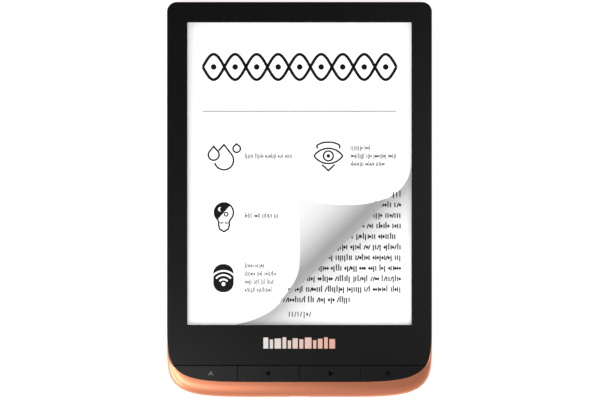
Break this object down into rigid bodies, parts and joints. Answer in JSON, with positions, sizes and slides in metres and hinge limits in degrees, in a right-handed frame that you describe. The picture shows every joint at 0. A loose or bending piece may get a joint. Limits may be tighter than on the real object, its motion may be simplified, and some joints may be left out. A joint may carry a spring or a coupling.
{
  "type": "e-reader",
  "caption": "Slim six-inch e-reader with a satin black face, a strip of keys below the screen and a copper rear shell.",
  "frame": {"origin": "under the middle of the body, on the plane of its flat back", "axes": "+X to the reader's right, +Y towards the top of the page, +Z out of the screen"},
  "size_m": [0.108, 0.1614, 0.008],
  "materials": {
    "copper_shell": "satin metallic copper lacquer on plastic",
    "copper_button": "satin metallic copper lacquer",
    "satin_black_face": "satin, very fine grain",
    "key_black": "satin, slightly smoother than the face",
    "page": "matt electronic paper",
    "clear_film": "clear",
    "dark_film": "matt black film",
    "ivory_plastic": "matt",
    "amber_film": "glossy amber film",
    "magnesium": "cast, matt",
    "circuit_board": "glossy lacquer",
    "chip_black": "moulded, matt",
    "tinned_steel": "tinned",
    "battery_foil": "laminated foil, satin"
  },
  "bodies": {
    "root": {"antenna": "amber_film", "back_switch": "tinned_steel", "battery_board": "circuit_board", "battery_cell": "battery_foil", "battery_connector": "ivory_plastic", "battery_leads": "dark_film", "battery_tape": "dark_film", "board_screw_1": "tinned_steel", "board_screw_2": "tinned_steel", "board_screw_3": "tinned_steel", "board_screw_4": "tinned_steel", "display_connector": "ivory_plastic", "display_flex": "amber_film", "display_gasket": "dark_film", "display_power_chip": "chip_black", "eink_panel": "page", "forward_switch": "tinned_steel", "frame_screw_1": "tinned_steel", "frame_screw_2": "tinned_steel", "frame_screw_3": "tinned_steel", "frame_screw_4": "tinned_steel", "frame_screw_5": "tinned_steel", "frame_screw_6": "tinned_steel", "front_frame": "satin_black_face", "hall_sensor": "chip_black", "home_switch": "tinned_steel", "light_bar": "ivory_plastic", "light_guide": "clear_film", "main_board": "circuit_board", "memory_chip": "chip_black", "menu_switch": "tinned_steel", "mid_frame": "magnesium", "power_chip": "chip_black", "power_switch": "tinned_steel", "processor": "chip_black", "rear_shell": "copper_shell", "reset_switch": "tinned_steel", "shield_can": "tinned_steel", "status_led": "ivory_plastic", "status_light_pipe": "clear_film", "storage_chip": "chip_black", "touch_connector": "ivory_plastic", "touch_flex": "amber_film", "touch_panel": "clear_film", "usb_socket": "tinned_steel", "usb_tongue": "chip_black", "wireless_module": "tinned_steel"},
    "home_key": {"home_key": "key_black"},
    "back_key": {"back_key": "key_black"},
    "forward_key": {"forward_key": "key_black"},
    "menu_key": {"menu_key": "key_black"},
    "power_button": {"power_button": "copper_button"}
  },
  "joints": [
    {"name": "home_press", "type": "slide", "parent": "root", "child": "home_key", "axis": [0, 0, -1], "range_m": [0, 0.0003], "stiffness_N_per_m": 4300},
    {"name": "back_press", "type": "slide", "parent": "root", "child": "back_key", "axis": [0, 0, -1], "range_m": [0, 0.0003], "stiffness_N_per_m": 4300},
    {"name": "forward_press", "type": "slide", "parent": "root", "child": "forward_key", "axis": [0, 0, -1], "range_m": [0, 0.0003], "stiffness_N_per_m": 4300},
    {"name": "menu_press", "type": "slide", "parent": "root", "child": "menu_key", "axis": [0, 0, -1], "range_m": [0, 0.0003], "stiffness_N_per_m": 4300},
    {"name": "power_press", "type": "slide", "parent": "root", "child": "power_button", "axis": [0, 1, 0], "range_m": [0, 0.0003], "stiffness_N_per_m": 5000}
  ]
}
